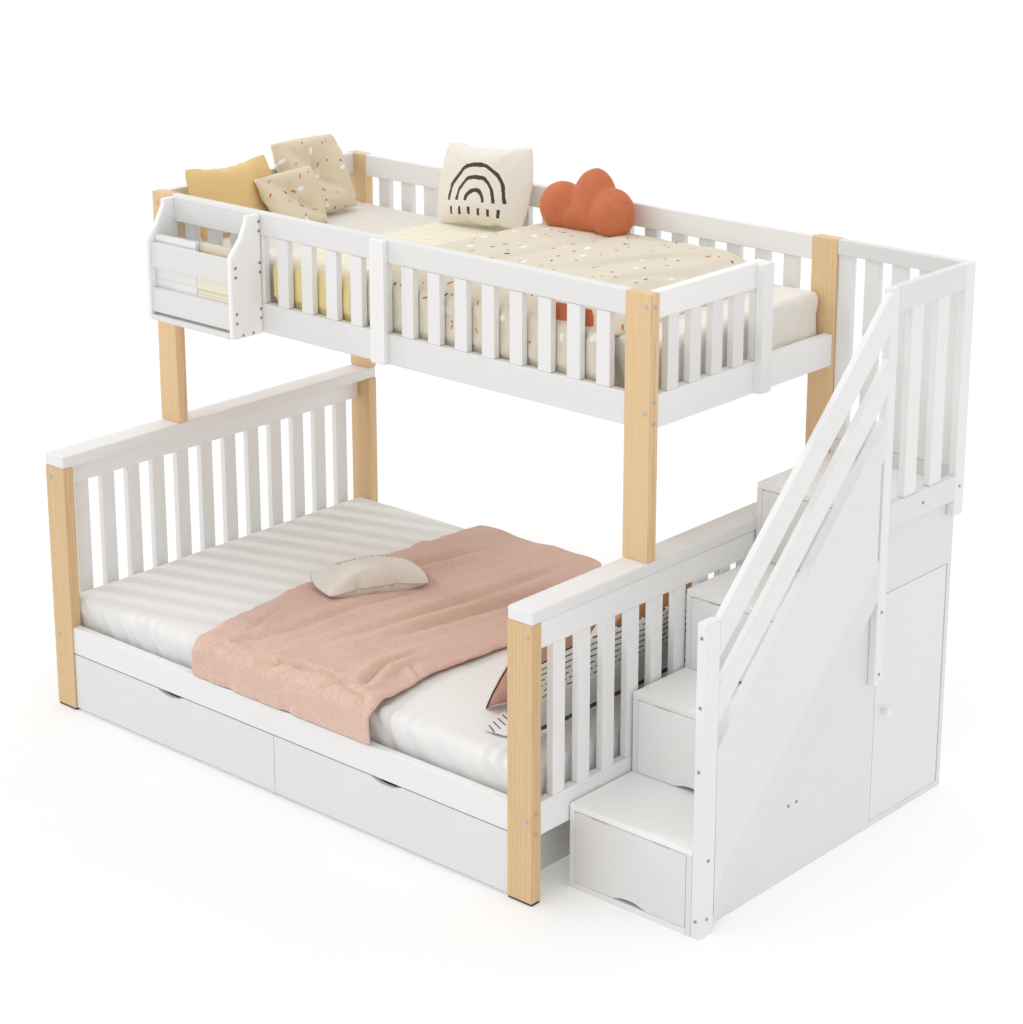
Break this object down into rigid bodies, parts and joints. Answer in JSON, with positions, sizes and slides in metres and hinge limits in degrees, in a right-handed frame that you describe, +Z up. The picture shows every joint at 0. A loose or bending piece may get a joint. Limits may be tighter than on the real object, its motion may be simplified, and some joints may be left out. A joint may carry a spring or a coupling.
{
  "type": "bunk bed with storage",
  "caption": "Bunk bed with a wide lower bed, a narrower guarded upper bunk, storage stairs with lift-up flaps and a wardrobe, wheeled drawers and a book caddy.",
  "frame": {"origin": "on the floor under the middle of the whole piece", "axes": "+X from the head end to the stairs, +Y from the open front to the back, +Z up"},
  "size_m": [2.6852, 1.5004, 1.9072],
  "materials": {
    "white_paint": "white satin paint over faint grain",
    "pine": "clear matt lacquer on pine",
    "drawer_board": "plain white board",
    "dark_felt": "dark glide",
    "steel": "zinc-plated",
    "wheel_grey": "matt",
    "book_board": "plain card",
    "white_sheet": "woven cotton",
    "beige_sheet": "woven cotton",
    "pink_fleece": "short fleece",
    "yellow_check": "cream cotton with a thin yellow check",
    "beige_print": "cotton with sparse flecks",
    "off_white_linen": "linen",
    "yellow_quilt": "quilted cotton",
    "pink_cotton": "cotton with piping",
    "rust_velvet": "velvet",
    "grey_knit": "knit"
  },
  "bodies": {
    "frame": {"end_caps": "white_paint", "end_board_rails": "white_paint", "headboard_slats": "white_paint", "footboard_slats": "white_paint", "lower_side_rails": "white_paint", "upper_front_rails": "white_paint", "upper_back_rails": "white_paint", "upper_head_rails": "white_paint", "upper_foot_rails": "white_paint", "upper_guard_battens": "white_paint", "upper_guard_slats": "white_paint", "caddy_sides": "white_paint", "caddy_boards": "white_paint", "stair_side_left": "white_paint", "stair_side_right": "white_paint", "stair_treads": "white_paint", "stair_inner_boards": "white_paint", "newel_post": "white_paint", "stair_guard_rails": "white_paint", "stair_guard_panel": "white_paint", "stair_stringer": "white_paint", "landing_guard_stiles": "white_paint", "landing_guard_rails": "white_paint", "landing_guard_slats": "white_paint", "lower_posts": "pine", "upper_posts": "pine", "bed_ledgers": "pine", "lower_bed_slats": "pine", "upper_bed_slats": "pine", "centre_beam": "pine", "post_glides": "dark_felt", "hinge_pins": "steel", "frame_bolts": "steel", "panel_screws": "steel", "books": "book_board", "lower_mattress": "white_sheet", "upper_mattress": "beige_sheet", "lower_blanket": "pink_fleece", "upper_throw": "yellow_check", "upper_duvet": "beige_print", "square_pillow": "off_white_linen", "lying_pillow": "off_white_linen", "head_pillows": "yellow_quilt", "foot_pillows": "pink_cotton", "rust_cushions": "rust_velvet", "foot_throw": "grey_knit"},
    "left_drawer": {"left_drawer_front": "white_paint", "left_drawer_box": "drawer_board"},
    "left_front_wheels": {"left_drawer_front_wheels": "wheel_grey"},
    "left_back_wheels": {"left_drawer_back_wheels": "wheel_grey"},
    "right_drawer": {"right_drawer_front": "white_paint", "right_drawer_box": "drawer_board"},
    "right_front_wheels": {"right_drawer_front_wheels": "wheel_grey"},
    "right_back_wheels": {"right_drawer_back_wheels": "wheel_grey"},
    "flap_one": {"step_flap_one": "white_paint"},
    "flap_two": {"step_flap_two": "white_paint"},
    "flap_three": {"step_flap_three": "white_paint"},
    "flap_four": {"step_flap_four": "white_paint"},
    "door": {"wardrobe_door": "white_paint", "wardrobe_knob": "white_paint"}
  },
  "joints": [
    {"name": "left_drawer_slide", "type": "slide", "parent": "frame", "child": "left_drawer", "axis": [0, -1, 0], "range_m": [0, 0.55]},
    {"name": "left_front_wheels_spin", "type": "hinge", "parent": "left_drawer", "child": "left_front_wheels", "pos_m": [-0.74305, -0.65475, 0.0203], "axis": [1, 0, 0], "range_deg": [0, 1580]},
    {"name": "left_back_wheels_spin", "type": "hinge", "parent": "left_drawer", "child": "left_back_wheels", "pos_m": [-0.74305, -0.15475, 0.0203], "axis": [1, 0, 0], "range_deg": [0, 1580]},
    {"name": "right_drawer_slide", "type": "slide", "parent": "frame", "child": "right_drawer", "axis": [0, -1, 0], "range_m": [0, 0.55]},
    {"name": "right_front_wheels_spin", "type": "hinge", "parent": "right_drawer", "child": "right_front_wheels", "pos_m": [0.25895, -0.65475, 0.0203], "axis": [1, 0, 0], "range_deg": [0, 1580]},
    {"name": "right_back_wheels_spin", "type": "hinge", "parent": "right_drawer", "child": "right_back_wheels", "pos_m": [0.25895, -0.15475, 0.0203], "axis": [1, 0, 0], "range_deg": [0, 1580]},
    {"name": "flap_one_lift", "type": "hinge", "parent": "frame", "child": "flap_one", "pos_m": [1.08195, -0.56875, 0.24245], "axis": [-1, 0, 0], "range_deg": [0, 90]},
    {"name": "flap_two_lift", "type": "hinge", "parent": "frame", "child": "flap_two", "pos_m": [1.08195, -0.27778, 0.50051], "axis": [-1, 0, 0], "range_deg": [0, 90]},
    {"name": "flap_three_lift", "type": "hinge", "parent": "frame", "child": "flap_three", "pos_m": [1.08195, -0.02475, 0.7565], "axis": [-1, 0, 0], "range_deg": [0, 90]},
    {"name": "flap_four_lift", "type": "hinge", "parent": "frame", "child": "flap_four", "pos_m": [1.08195, 0.32624, 1.0105], "axis": [-1, 0, 0], "range_deg": [0, 90]},
    {"name": "door_swing", "type": "hinge", "parent": "frame", "child": "door", "pos_m": [1.29895, 0.71375, 0.395], "axis": [0, 0, 1], "range_deg": [0, 95]}
  ],
  "couplings": [
    {"joint": "left_front_wheels_spin", "follows": "left_drawer_slide", "rad_per_m": 50},
    {"joint": "left_back_wheels_spin", "follows": "left_drawer_slide", "rad_per_m": 50},
    {"joint": "right_front_wheels_spin", "follows": "right_drawer_slide", "rad_per_m": 50},
    {"joint": "right_back_wheels_spin", "follows": "right_drawer_slide", "rad_per_m": 50}
  ]
}
